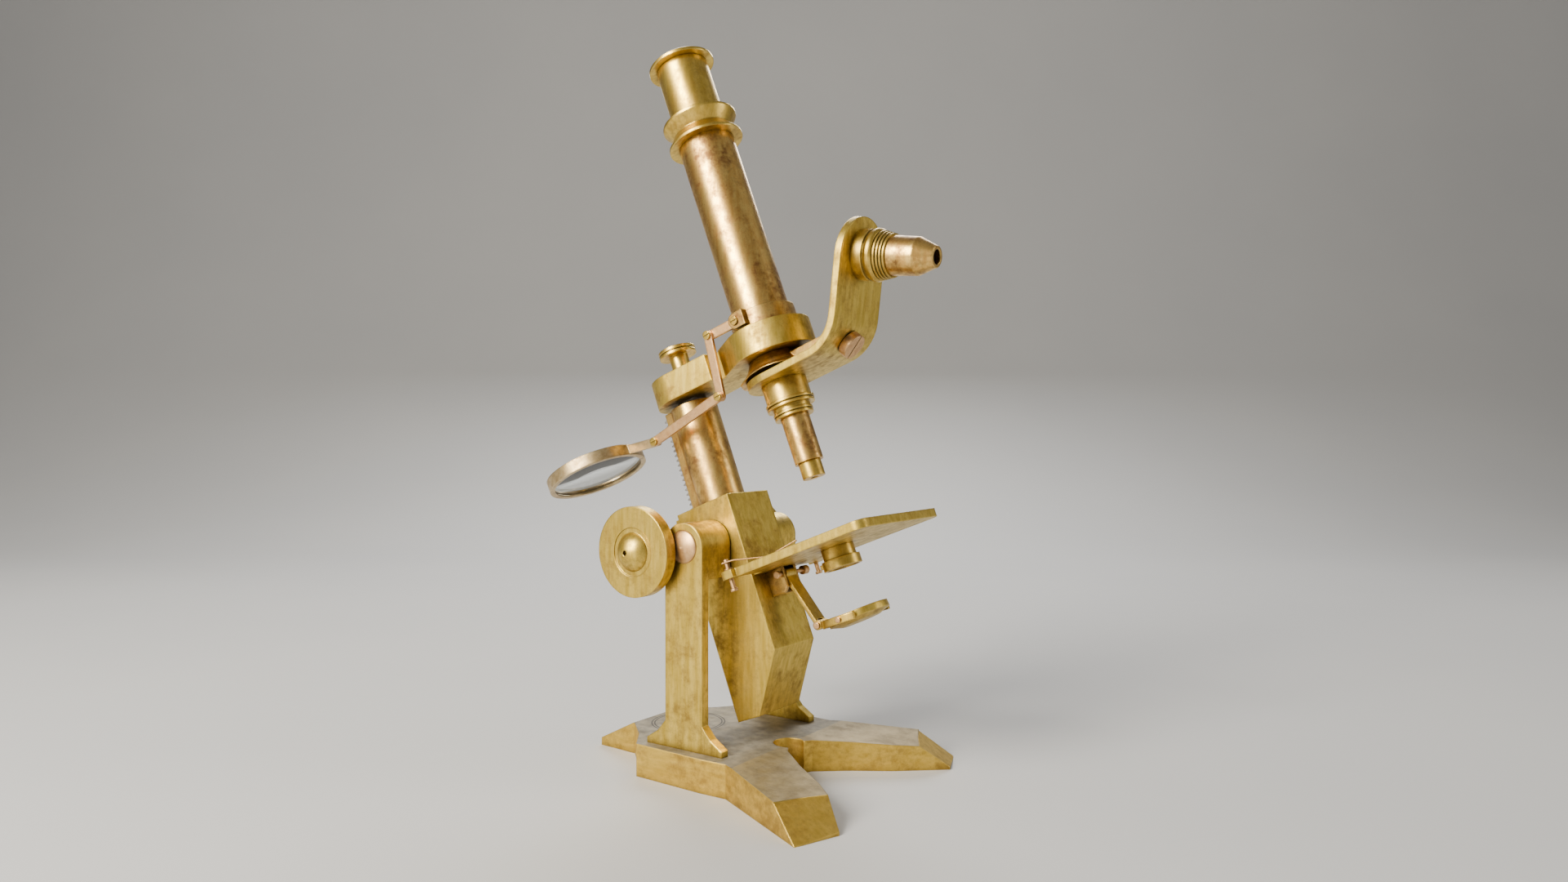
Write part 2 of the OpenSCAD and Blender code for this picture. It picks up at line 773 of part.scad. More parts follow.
module knob(side) {
    color("goldenrod") pinion_frame() scale([1, side, 1]) translate([0, knob_y, 0])
        rotate([-90, 0, 0]) difference() {
            union() {
                translate([0, 0, -knob_t]) cylinder(h = knob_t, r = knob_r);
                dome(knob_dome_r, knob_dome_h);
            }
            translate([0, 0, -0.5]) ring(knob_dome_r + 2.4, knob_dome_r, 0, 2);
            translate([0, 0, -knob_t - 1]) cylinder(h = knob_t - 0.6, r = shaft_r + seat);
            translate([0, 0, knob_dome_h - 2]) cylinder(h = 5, r = 1.2);
        }
}

module right_knob() {
    knob(-1);
}

module left_knob() {
    knob(1);
}

module column_tube() {
    color("goldenrod") limb_frame() difference() {
        translate([0, 0, column_bottom]) linear_extrude(column_len) column_outline(0);
        translate([column_u - stem_half - run, -stem_half - run, stem_bottom - 6])
            cube([2 * (stem_half + run), 2 * (stem_half + run), far]);
        translate([column_u, 0, nut_bottom]) cylinder(h = far, r = nut_r + seat);
    }
}

module rack() {
    color("slategray") limb_frame() y_plate(-rack_half_w, rack_half_w) union() {
        translate([rack_pitch_u + tooth_root, rack_from])
            square([rail_back - rack_pitch_u - tooth_root, rack_to - rack_from]);
        for (i = [-rack_down:rack_up]) translate([rack_pitch_u, pinion_w + i * tooth_pitch])
            polygon([
                [tooth_root + 0.2, 0.36 * tooth_pitch], [-tooth_top, 0.11 * tooth_pitch],
                [-tooth_top, -0.11 * tooth_pitch], [tooth_root + 0.2, -0.36 * tooth_pitch]
            ]);
    }
}

// ---- Fine focus and arm ----

module fine_nut() {
    color("slategray") limb_frame() translate([column_u, 0, 0])
        ring(nut_r, fine_thread_r + run, nut_bottom, nut_top);
}

module fine_screw() {
    color("peru") limb_frame() translate([column_u, 0, 0]) difference() {
        union() {
            translate([0, 0, nut_bottom + 2]) cylinder(h = fine_knob_w - nut_bottom - 1, r = fine_thread_r);
            translate([0, 0, arm_top + 0.1]) cylinder(h = fine_knob_w - arm_top, r = fine_shaft_r);
            translate([0, 0, fine_knob_w]) cylinder(h = 3.4, r = fine_knob_r);
        }
        translate([0, 0, fine_knob_w + 1.4]) ring(fine_knob_r + 1, fine_knob_r - 0.7, 0, 0.5);
        translate([0, 0, fine_knob_w + 2.9]) cylinder(h = 2, r = fine_knob_r - 1.6);
    }
}

module fine_collar() {
    color("slategray") limb_frame() translate([column_u, 0, 0])
        ring(nut_r - 0.6, fine_thread_r + seat, stem_bottom - 3.1, stem_bottom - 0.1);
}

module arm_outline() {
    neck_tip = [neck_to, arm_corner_y];
    union() {
        translate([column_u, 0]) circle(r = arm_head_r);
        polygon([
            [column_u, -arm_head_r], [neck_from, -arm_head_r + 1.8],
            [neck_from, arm_head_r - 1.8], [column_u, arm_head_r]
        ]);
        translate([neck_from - 1, -neck_half_w]) square([neck_to - neck_from + 2, 2 * neck_half_w]);
        translate([tube_u, 0]) circle(r = arm_ring_r);
        polygon([
            [neck_to, -arm_corner_y],
            [tube_u - arm_ring_r * sin(flare_turn), -arm_ring_r * cos(flare_turn)],
            [tube_u, 0], [tube_u - arm_ring_r * sin(flare_turn), arm_ring_r * cos(flare_turn)], neck_tip
        ]);
    }
}

module arm() {
    color("goldenrod") limb_frame() difference() {
        translate([0, 0, arm_level]) linear_extrude(arm_h) arm_outline();
        translate([tube_u, 0, mount_top]) cylinder(h = far, r = tube_r + seat);
        translate([tube_u, 0, arm_level - 1]) cylinder(h = far, r = spigot_r + seat);
        translate([column_u - stem_half - seat, -stem_half - seat, arm_level - 1])
            cube([2 * (stem_half + seat), 2 * (stem_half + seat), arm_h - 4]);
        translate([column_u, 0, 0]) cylinder(h = far, r = stem_bore);
    }
}

module arm_stem() {
    color("slategray") limb_frame() difference() {
        translate([column_u - stem_half, -stem_half, stem_bottom])
            cube([2 * stem_half, 2 * stem_half, arm_top - 5 - stem_bottom]);
        translate([column_u, 0, 0]) cylinder(h = far, r = stem_bore);
    }
}

module body_tube() {
    color("sienna") tube_frame() ring(tube_r, tube_r - tube_wall, mount_top + seat, tube_top);
}

module tube_collar() {
    color("peru") tube_frame() rotate_extrude() polygon([
        [tube_r + seat, collar_w - 0.6], [collar_r, collar_w - 0.6], [collar_r, collar_w + 0.6],
        [tube_r + 0.7, collar_w + 5.5], [collar_r, collar_w + 10.6], [collar_r, collar_w + 11.8],
        [draw_r + 0.6, collar_w + 14], [draw_r + 2 * run, collar_w + 14],
        [draw_r + 2 * run, tube_top + seat], [tube_r + seat, tube_top + seat]
    ]);
}

module magnifier_clip() {
    color("peru") limb_frame() difference() {
        union() {
            translate([tube_u, 0, 0])
                ring(clip_ring_r, tube_r + seat, clip_ring_w, clip_ring_w + clip_ring_h);
            y_plate(layer(1), -tube_r - 0.6) union() {
                translate(ear_at) circle(r = ear_half);
                translate([ear_at[0], ear_at[1] - ear_half]) square([ear_half + 1.6, 2 * ear_half]);
            }
        }
        y_plate(layer(0) - 0.1, layer(0) + link_t + 0.1) union() {
            translate([ear_at[0] - 20, ear_at[1] - 10]) square([20, 20]);
            translate(ear_at) circle(r = ear_half + 0.2);
        }
        at_joint(ear_at) y_rod(link_screw_r + seat, -40, -14);
    }
}

// ---- Nosepiece ----

module nosepiece_mount() {
    color("sienna") difference() {
        union() {
            intersection() {
                union() {
                    tube_frame() rotate_extrude() polygon([
                        [0, nose_lip_w - 6], [nose_lip_r, nose_lip_w - 6], [nose_lip_r, nose_lip_w + 0.8],
                        [nose_lip_r - 1.6, nose_lip_w + 1.6], [15.4, nose_lip_w + 4],
                        [13.8, nose_lip_w + 6.6], [12.8, arm_level - 0.05], [0, arm_level - 0.05]
                    ]);
                    tube_frame() translate([8, -lug_y, nose_lip_w - 6]) cube([34, 2 * lug_y, 12]);
                }
                pivot_frame() translate([0, 0, -apex + 0.35])
                    cylinder(h = apex, r1 = 0, r2 = apex / tan(nose_angle));
                pivot_frame() translate([0, 0, -lug_end]) cylinder(h = far, r = far);
            }
            tube_frame() translate([0, 0, arm_level - 1]) cylinder(h = 8, r = spigot_r);
            pivot_frame() translate([0, 0, -lug_end]) cylinder(h = 4.5, r = lug_y);
        }
        tube_frame() cylinder(h = far, r = lens_hole_r);
        tube_frame() translate([0, 0, arm_level + 1]) cylinder(h = far, r = spigot_r - 1.2);
        pivot_frame() translate([0, 0, -far]) cylinder(h = 2 * far, r = pivot_r - 0.8 + seat);
    }
}

module bend_outline() {
    translate([0, -bend_at]) intersection() {
        difference() {
            circle(r = bend_r);
            circle(r = bend_r - nose_t);
        }
        polygon([
            [0, 0], [-60 * sin(nose_angle), -60 * cos(nose_angle)],
            [60 * sin(nose_angle), -60 * cos(nose_angle)]
        ]);
    }
}

module nose_plate() {
    lobe_l = nose_half_w + 1 + bend_reach;
    color("darkgoldenrod") difference() {
        pivot_frame() y_plate(-nose_half_w, nose_half_w) union() {
            rotate(-nose_angle) translate([-nose_half_w - 1, -nose_reach]) square([lobe_l, nose_t]);
            rotate(nose_angle) translate([-bend_reach, -nose_reach]) square([lobe_l, nose_t]);
            bend_outline();
        }
        for (side = [-1, 1]) objective_frame(side) {
            translate([-side * lobe_in, 0, 0]) difference() {
                translate([side > 0 ? 0 : -30, -30, -1]) cube([30, 60, nose_t + 2]);
                translate([0, 0, -2]) cylinder(h = nose_t + 4, r = nose_half_w + 0.02);
            }
            translate([0, 0, -1]) cylinder(h = nose_t + 2, r = lens_hole_r);
        }
        pivot_frame() translate([0, 0, -far]) cylinder(h = far, r = pivot_r + run);
    }
}

module pivot_screw() {
    color("sienna") pivot_frame() difference() {
        union() {
            translate([0, 0, -bend_at - bend_r - 4]) cylinder(h = 3.8, r = pivot_head_r);
            translate([0, 0, -bend_at - bend_r - 0.3])
                cylinder(h = bend_at + bend_r + 0.3 - lug_end - 0.1, r = pivot_r);
            translate([0, 0, -lug_end - 0.2]) cylinder(h = 4, r = pivot_r - 0.8);
        }
        translate([-far, -0.5, -bend_at - bend_r - 4.6]) cube([2 * far, 1, 1.4]);
    }
}

module long_collar() {
    neck = long_barrel_r + 2.1;
    color("peru") objective_frame(-1) rotate_extrude() polygon([
        [long_bore, -16.9], [neck + 0.4, -16.9], [neck + 0.4, -15.8], [neck - 0.3, -15.8],
        [neck - 0.3, -15.3], [neck + 0.6, -15.3], [neck + 0.6, -14.3], [neck, -14.3],
        [neck, -12.1], [long_collar_r + 0.1, -12.1], [long_collar_r + 0.1, -11],
        [long_collar_r - 0.7, -11], [long_collar_r - 0.7, -10.4], [long_collar_r + 0.3, -10.4],
        [long_collar_r + 0.3, -9.2], [long_collar_r - 0.5, -9.2], [long_collar_r - 0.5, 0],
        [lens_hole_r - seat, 0], [lens_hole_r - seat, nose_t - 0.1], [long_bore, nose_t - 0.1]
    ]);
}

module long_barrel() {
    color("peru") objective_frame(-1) difference() {
        union() {
            translate([0, 0, -long_len + 7.4]) cylinder(h = long_len - 24.3, r = long_barrel_r);
            translate([0, 0, -17]) cylinder(h = 10, r = long_bore - seat);
        }
        translate([0, 0, -far]) cylinder(h = 2 * far, r = long_bore - 1.2);
    }
}

module long_front_cell() {
    color("sienna") objective_frame(-1) difference() {
        union() {
            translate([0, 0, -long_len]) cylinder(h = 7.4, r = long_barrel_r - 1.4);
            translate([0, 0, -long_len + 7.3]) cylinder(h = 5, r = long_bore - 1.2 - seat);
        }
        translate([0, 0, -long_len + 1.4]) cylinder(h = 40, r = front_lens_r + 0.1);
        translate([0, 0, -long_len - 1]) cylinder(h = 5, r = front_lens_r - 0.7);
    }
}

module long_lens() {
    color("lightblue") objective_frame(-1) translate([0, 0, -long_len + 1.4 + seat]) {
        cylinder(h = 1.2, r = front_lens_r);
        translate([0, 0, 1.2]) dome(front_lens_r, 1);
    }
}

// Four narrow rims that grow towards a broad one, then a plain band against the plate.
module short_collar() {
    rims = [for (k = [0:3]) each [
        [short_collar_r - 1.7 + 0.35 * k, collar_end + 1.4 * k],
        [short_collar_r - 1.7 + 0.35 * k, collar_end + 0.9 + 1.4 * k],
        [short_collar_r - 2.3 + 0.35 * k, collar_end + 0.9 + 1.4 * k],
        [short_collar_r - 2.3 + 0.35 * k, collar_end + 1.4 + 1.4 * k]
    ]];
    color("peru") objective_frame(1) rotate_extrude() polygon(concat(
        [[long_bore, collar_end]], rims, [
            [short_collar_r - 0.5, collar_end + 5.6], [short_collar_r + 0.3, -8.7],
            [short_collar_r + 0.3, -7.4], [short_collar_r - 0.4, -5.8],
            [short_collar_r - 0.8, -5.8], [short_collar_r - 0.8, -5.2], [short_collar_r, -5.2],
            [short_collar_r, 0], [lens_hole_r - seat, 0], [lens_hole_r - seat, nose_t - 0.1],
            [long_bore, nose_t - 0.1]
        ]
    ));
}

module short_barrel() {
    color("sienna") objective_frame(1) difference() {
        rotate_extrude() polygon([
            [front_lens_r - 0.7, -short_len], [4.6, -short_len], [8.3, cone_from],
            [8.7, collar_end - 0.02], [long_bore - seat, collar_end - 0.02], [long_bore - seat, -7],
            [front_lens_r - 0.7, -7]
        ]);
        translate([0, 0, short_seat]) cylinder(h = far, r = front_lens_r + 0.1);
        translate([0, 0, -short_len - 1]) cylinder(h = short_mouth + 1, r = front_lens_r + 0.6);
    }
}

module short_lens() {
    color("lightblue") objective_frame(1) translate([0, 0, short_seat + seat]) {
        cylinder(h = 1.2, r = front_lens_r);
        translate([0, 0, 1.2]) dome(front_lens_r, 1);
    }
}

// ---- Draw tube and eyepiece ----

module draw_tube() {
    color("darkgoldenrod") tube_frame() ring(draw_r, draw_r - draw_wall, draw_bottom, rim_level - 0.1);
}

module eyepiece_body() {
    color("sienna") tube_frame() difference() {
        union() {
            translate([0, 0, rim_level]) cylinder(h = 1.4, r = rim_r);
            translate([0, 0, rim_level + 1.4]) cylinder(h = 0.6, r1 = rim_r, r2 = rim_r - 0.8);
            translate([0, 0, rim_level - eyepiece_l]) cylinder(h = eyepiece_l + 1, r = eyepiece_r);
        }
        translate([0, 0, rim_level - eyepiece_l - 1])
            cylinder(h = eyepiece_l - 2, r = eyepiece_r - eyepiece_wall);
        translate([0, 0, rim_level - 4]) cylinder(h = far, r = 4);
        translate([0, 0, rim_level + 1.2]) cylinder(h = 2, r1 = 4, r2 = 9);
    }
}

module eye_lens() {
    color("lightblue") tube_frame() translate([0, 0, rim_level - 3 - seat]) rotate([180, 0, 0]) {
        cylinder(h = 1.6, r = eyepiece_r - eyepiece_wall - seat);
        translate([0, 0, 1.6]) dome(eyepiece_r - eyepiece_wall - seat, 2.4);
    }
}

module field_stop() {
    color("dimgray") tube_frame()
        ring(eyepiece_r - eyepiece_wall - seat, 7, rim_level - 24, rim_level - 23);
}

module field_lens() {
    color("lightblue") tube_frame() translate([0, 0, rim_level - eyepiece_l + 2]) {
        cylinder(h = 1.6, r = eyepiece_r - eyepiece_wall - seat);
        translate([0, 0, 1.6]) dome(eyepiece_r - eyepiece_wall - seat, 2.4);
    }
}

// ---- Magnifier ----

// Near face of the n-th layer of links, counted outwards from the tube.
function layer(n) = -clip_ring_r - 1.8 - n * (link_t + 0.1);

module at_joint(at) {
    translate([at[0], 0, at[1]]) children();
}

// A link in one layer; the first hole is a running fit, the second holds its own screw.
module link(from, to, n) {
    limb_frame() difference() {
        y_plate(layer(n), layer(n) + link_t) strap_outline(from, to, link_w / 2, link_w);
        at_joint(from) y_rod(link_screw_r + run, -40, 0);
        at_joint(to) y_rod(link_screw_r + seat, -40, 0);
    }
}

// A screw whose slotted head lies on layer n and whose rod ends at y_end.
module link_screw(at, n, y_end) {
    color("peru") limb_frame() at_joint(at) difference() {
        union() {
            y_rod(link_screw_r, layer(n) - 0.2, y_end);
            y_rod(link_head_r, layer(n) - 1, layer(n) - 0.05);
        }
        translate([-far, layer(n) - 1.4, -0.2]) cube([2 * far, 0.8, 0.4]);
    }
}

// A link screw whose end is riveted over layer m.
module riveted_screw(at, n, m) {
    link_screw(at, n, layer(m) + link_t + 0.2);
    color("peru") limb_frame() at_joint(at)
        y_rod(link_screw_r + 0.5, layer(m) + link_t + 0.05, layer(m) + link_t + 0.4);
}

module ear_screw() {
    link_screw(ear_at, 1, layer(0) + link_t + 1.6);
}

module upper_link() {
    color("goldenrod") link(ear_at, link_1_at, 0);
}

module upper_link_screw() {
    riveted_screw(link_1_at, 1, 0);
}

module middle_link() {
    color("goldenrod") link(link_1_at, link_2_at, 1);
}

module middle_link_screw() {
    riveted_screw(link_2_at, 2, 1);
}

module lower_link() {
    color("goldenrod") link(link_2_at, link_3_at, 2);
}

module lower_link_screw() {
    riveted_screw(link_3_at, 2, 1);
}

module loupe_frame() {
    limb_frame() translate([loupe_at[0], layer(1) + link_t / 2, loupe_at[1]])
        rotate([0, tilt - loupe_tilt, 0]) children();
}

module loupe_ring() {
    rim_at = loupe_at + (loupe_r - 0.7) * [cos(loupe_tilt - tilt), sin(loupe_tilt - tilt)];
    color("silver") {
        loupe_frame() {
            ring(loupe_r, loupe_r - loupe_wall, -loupe_h / 2, loupe_h / 2);
            ring(loupe_r - loupe_wall + 0.2, loupe_r - loupe_wall - 1, -loupe_h / 2, -loupe_h / 2 + 1);
        }
        limb_frame() difference() {
            y_plate(layer(1), layer(1) + link_t) union() {
                translate(link_3_at) circle(r = link_w / 2);
                translate(link_3_at) rotate(atan2(rim_at[1] - link_3_at[1], rim_at[0] - link_3_at[0]))
                    translate([0, -link_w / 2]) square([norm(rim_at - link_3_at), link_w]);
            }
            at_joint(link_3_at) y_rod(link_screw_r + run, -40, 0);
        }
    }
}

module loupe_lens() {
    lens_r = loupe_r - loupe_wall - seat;
    color("lightblue") loupe_frame() translate([0, 0, -loupe_h / 2 + 1 + seat]) {
        translate([0, 0, 1.2]) cylinder(h = 1, r = lens_r);
        translate([0, 0, 2.2]) dome(lens_r, 1.6);
        cylinder(h = 1.2, r1 = lens_r - 3, r2 = lens_r);
    }
}

foot();
left_pillar();
right_pillar();
pillar_screws();
trunnion_screws();
trunnion_washers();
limb_block();
pinion_box();
box_screws();
stage_plate();
bracket_screws();
substage_sleeve();
stop_nut();
stop_ring();
left_clip();
right_clip();
mirror_bracket();
arm_pin();
mirror_arm();
yoke_pin();
mirror_yoke();
mirror_pivots();
mirror_cell();
mirror_glass();
pinion_shaft();
left_knob();
right_knob();
column_tube();
rack();
fine_nut();
arm();
arm_stem();
body_tube();
tube_collar();
nosepiece_mount();
pivot_screw();
magnifier_clip();
ear_screw();
fine_screw();
fine_collar();
draw_tube();
eyepiece_body();
eye_lens();
field_stop();
field_lens();
nose_plate();
long_collar();
long_barrel();
long_front_cell();
long_lens();
short_collar();
short_barrel();
short_lens();
upper_link();
upper_link_screw();
middle_link();
middle_link_screw();
lower_link();
lower_link_screw();
loupe_ring();
loupe_lens();
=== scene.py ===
# %% [markdown]
# # A brass compound microscope
# The solid parts come ready made in one shared frame, with the foot standing on z = 0, +X
# towards the stage and +Z up. This lesson gives them their finishes, adds the pieces that
# are better shaped as smooth glass, and sets up the view and the light. Units are metres.
# The first cell loads the frame.

# %% Load the frame
import json
import math

import bpy
from mathutils import Matrix, Vector


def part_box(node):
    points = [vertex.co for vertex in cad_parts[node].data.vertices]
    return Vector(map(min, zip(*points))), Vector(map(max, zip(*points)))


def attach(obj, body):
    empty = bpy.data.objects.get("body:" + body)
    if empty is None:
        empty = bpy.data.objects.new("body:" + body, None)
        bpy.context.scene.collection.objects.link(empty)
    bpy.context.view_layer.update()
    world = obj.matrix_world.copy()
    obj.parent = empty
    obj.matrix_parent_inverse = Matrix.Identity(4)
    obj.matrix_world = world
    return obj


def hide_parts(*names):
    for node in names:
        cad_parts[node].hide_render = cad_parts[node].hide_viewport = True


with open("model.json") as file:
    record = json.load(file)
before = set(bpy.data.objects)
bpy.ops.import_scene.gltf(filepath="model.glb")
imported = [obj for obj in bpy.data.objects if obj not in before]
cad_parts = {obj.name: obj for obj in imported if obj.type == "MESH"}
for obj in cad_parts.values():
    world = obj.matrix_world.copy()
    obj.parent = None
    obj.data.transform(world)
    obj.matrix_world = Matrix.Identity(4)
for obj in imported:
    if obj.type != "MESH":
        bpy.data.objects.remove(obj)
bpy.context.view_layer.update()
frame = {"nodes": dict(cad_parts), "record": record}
nodes = frame["nodes"]
slot_of = {s["node"]: s["material_slot"] for s in frame["record"]["subparts"]}

# %% [markdown]
# The limb of the microscope leans back by a fixed angle about the trunnion, the cross pin at
# the top of the two pillars. Tube, stage and mirror lie square to each other in the limb's own
# frame, so the one angle is kept here and the mirror's glass adds its own small tilt to it.

# %% The limb's lean
LIMB_TILT = math.radians(21.4)
print("the limb leans back", round(math.degrees(LIMB_TILT), 1), "degrees")

# %% [markdown]
# ## Finishes
# Old lacquered brass is never one colour. The lacquer wears off at the edges, which are
# rubbed bright; sweat and damp leave brown blotches; and wiping leaves fine streaks along
# the length of a part. One shared node group makes those masks from noise on the object's
# own coordinates and from the part's edges, and every brass here mixes its own colours
# with them. An image texture would need unwrapping sixty parts and would blur up close.
# The group gives only colour, roughness and normal, so each material keeps its own shader.


# %% The shared wear group
CLOUD_SCALE, BLOTCH_SCALE, STREAK_SCALE, GRAIN_SCALE = 55, 230, 420, 2400
RUBBED_EDGE = 0.0009
# how far the occlusion test looks for the painted shade in recesses
SHADE_REACH = 0.007
BUMP_DEPTH = 0.0002
# the dark brown of the painted shade laid into recesses
RECESS_SHADE = (0.05, 0.028, 0.012, 1)


def new_node(tree, kind, x, y, **settings):
    """Adds a shader node at a place in the editor and sets its plain properties."""
    node = tree.nodes.new(kind)
    node.location = (x, y)
    for key, value in settings.items():
        setattr(node, key, value)
    return node


def ramp(tree, x, y, low, high):
    """A map-range node that turns low..high into 0..1."""
    node = new_node(tree, "ShaderNodeMapRange", x, y)
    node.inputs["From Min"].default_value = low
    node.inputs["From Max"].default_value = high
    return node


def mix_colour(tree, x, y):
    """A colour mix node; its sockets are factor, first colour and second colour."""
    node = new_node(tree, "ShaderNodeMix", x, y, data_type="RGBA")
    return node.inputs[0], node.inputs[6], node.inputs[7], node.outputs[2]


def noise(tree, vector, x, y, scale, detail, roughness):
    """A noise texture reading the given vector socket."""
    node = new_node(tree, "ShaderNodeTexNoise", x, y)
    node.inputs["Scale"].default_value = scale
    node.inputs["Detail"].default_value = detail
    node.inputs["Roughness"].default_value = roughness
    tree.links.new(vector, node.inputs["Vector"])
    return node.outputs["Fac"]


def wear_group():
    """Lacquered metal: stains, streaks, bright edges, fine scratches, a soft bump and painted
    shade in recesses.
    """
    tree = bpy.data.node_groups.new("worn lacquer", "ShaderNodeTree")
    face = tree.interface
    for name, kind, value in (
        ("Metal", "NodeSocketColor", (0.6, 0.42, 0.16, 1)),
        ("Stain", "NodeSocketColor", (0.12, 0.06, 0.03, 1)),
        ("Bright", "NodeSocketColor", (0.9, 0.7, 0.35, 1)),
        ("Stain Amount", "NodeSocketFloat", 0.5),
        ("Streaks", "NodeSocketFloat", 0.4),
        ("Edges", "NodeSocketFloat", 0.7),
        ("Roughness", "NodeSocketFloat", 0.4),
        ("Stretch", "NodeSocketVector", (1, 1, 0.2)),
    ):
        socket = face.new_socket(name, in_out="INPUT", socket_type=kind)
        socket.default_value = value
    for name, kind in (
        ("Color", "NodeSocketColor"),
        ("Roughness", "NodeSocketFloat"),
        ("Normal", "NodeSocketVector"),
    ):
        face.new_socket(name, in_out="OUTPUT", socket_type=kind)
    link = tree.links.new
    given = new_node(tree, "NodeGroupInput", -1400, 0)
    result = new_node(tree, "NodeGroupOutput", 900, 0)
    place = new_node(tree, "ShaderNodeTexCoord", -1400, 500).outputs["Object"]

    stretched = new_node(tree, "ShaderNodeVectorMath", -1200, 500, operation="MULTIPLY")
    link(place, stretched.inputs[0])
    link(given.outputs["Stretch"], stretched.inputs[1])

    clouds = noise(tree, place, -1000, 700, CLOUD_SCALE, 5, 0.62)
    blotches = noise(tree, place, -1000, 500, BLOTCH_SCALE, 6, 0.7)
    streaks = noise(tree, stretched.outputs[0], -1000, 300, STREAK_SCALE, 4, 0.65)
    grain = noise(tree, place, -1000, 100, GRAIN_SCALE, 3, 0.6)

    # stains: broad clouds decide where the small blotches may appear
    both = new_node(tree, "ShaderNodeMath", -780, 640, operation="MULTIPLY_ADD")
    link(clouds, both.inputs[0])
    both.inputs[1].default_value = 0.9
    link(blotches, both.inputs[2])
    spots = ramp(tree, -600, 640, 0.88, 1.18)
    link(both.outputs[0], spots.inputs["Value"])
    stain = new_node(tree, "ShaderNodeMath", -420, 640, operation="MULTIPLY", use_clamp=True)
    link(spots.outputs[0], stain.inputs[0])
    link(given.outputs["Stain Amount"], stain.inputs[1])

    # streaks lighten and darken the metal a little
    tone = ramp(tree, -780, 300, 0.35, 0.65)
    link(streaks, tone.inputs["Value"])
    tone_amount = new_node(tree, "ShaderNodeMath", -600, 300, operation="MULTIPLY")
    link(tone.outputs[0], tone_amount.inputs[0])
    link(given.outputs["Streaks"], tone_amount.inputs[1])

    # edges: where a rounded normal and the face's own normal part
    rounded = new_node(tree, "ShaderNodeBevel", -1000, -250, samples=4)
    rounded.inputs["Radius"].default_value = RUBBED_EDGE
    own = new_node(tree, "ShaderNodeNewGeometry", -1000, -450).outputs["Normal"]
    apart = new_node(tree, "ShaderNodeVectorMath", -780, -300, operation="DOT_PRODUCT")
    link(rounded.outputs[0], apart.inputs[0])
    link(own, apart.inputs[1])
    edge = ramp(tree, -600, -300, 0.985, 0.86)
    link(apart.outputs["Value"], edge.inputs["Value"])
    broken = new_node(tree, "ShaderNodeMath", -420, -300, operation="MULTIPLY", use_clamp=True)
    link(edge.outputs[0], broken.inputs[0])
    ragged = ramp(tree, -600, -80, 0.3, 0.6)
    link(blotches, ragged.inputs["Value"])
    link(ragged.outputs[0], broken.inputs[1])
    rubbed = new_node(tree, "ShaderNodeMath", -240, -300, operation="MULTIPLY")
    link(broken.outputs[0], rubbed.inputs[0])
    link(given.outputs["Edges"], rubbed.inputs[1])

    f1, a1, b1, out1 = mix_colour(tree, -200, 400)
    link(tone_amount.outputs[0], f1)
    link(given.outputs["Metal"], a1)
    link(given.outputs["Bright"], b1)
    f2, a2, b2, out2 = mix_colour(tree, 50, 300)
    link(stain.outputs[0], f2)
    link(out1, a2)
    link(given.outputs["Stain"], b2)
    f3, a3, b3, out3 = mix_colour(tree, 300, 200)
    link(rubbed.outputs[0], f3)
    link(out2, a3)
    link(given.outputs["Bright"], b3)

    # painted shade: recesses, where little light reaches, are darkened to brown
    open_sky = new_node(tree, "ShaderNodeAmbientOcclusion", 300, 520, samples=4)
    open_sky.inputs["Distance"].default_value = SHADE_REACH
    recess_mask = ramp(tree, 480, 520, 0.72, 0.25)
    link(open_sky.outputs["AO"], recess_mask.inputs["Value"])
    painted_shade = new_node(tree, "ShaderNodeMath", 620, 520, operation="MULTIPLY")
    link(recess_mask.outputs[0], painted_shade.inputs[0])
    painted_shade.inputs[1].default_value = 0.75
    f4, a4, b4, out4 = mix_colour(tree, 700, 250)
    link(painted_shade.outputs[0], f4)
    link(out3, a4)
    b4.default_value = RECESS_SHADE
    link(out4, result.inputs["Color"])

    # stained metal is duller, rubbed metal smoother, and the grain breaks both up
    dull = new_node(tree, "ShaderNodeMath", 50, -50, operation="MULTIPLY_ADD")
    link(stain.outputs[0], dull.inputs[0])
    dull.inputs[1].default_value = 0.22
    link(given.outputs["Roughness"], dull.inputs[2])
    fine = new_node(tree, "ShaderNodeMath", 220, -50, operation="MULTIPLY_ADD")
    link(grain, fine.inputs[0])
    fine.inputs[1].default_value = 0.12
    link(dull.outputs[0], fine.inputs[2])
    smooth = new_node(tree, "ShaderNodeMath", 400, -50, operation="MULTIPLY_ADD", use_clamp=True)
    link(rubbed.outputs[0], smooth.inputs[0])
    smooth.inputs[1].default_value = -0.1
    link(fine.outputs[0], smooth.inputs[2])
    link(smooth.outputs[0], result.inputs["Roughness"])

    bump = new_node(tree, "ShaderNodeBump", 500, -350)
    bump.inputs["Strength"].default_value = 0.12
    bump.inputs["Distance"].default_value = BUMP_DEPTH
    link(blotches, bump.inputs["Height"])
    link(rounded.outputs[0], bump.inputs["Normal"])
    link(bump.outputs[0], result.inputs["Normal"])
    return tree


WEAR = wear_group()
print("wear group:", len(WEAR.nodes), "nodes")

# %% [markdown]
# Each brass is the same metal under a different history. The stand was lacquered golden
# yellow, the tubes were lacquered redder and have gone brown in spots, and the little links
# and screws were handled until they turned pink. A helper makes the Principled material and
# feeds it from the wear group, so that a finish is one line of colours and amounts.


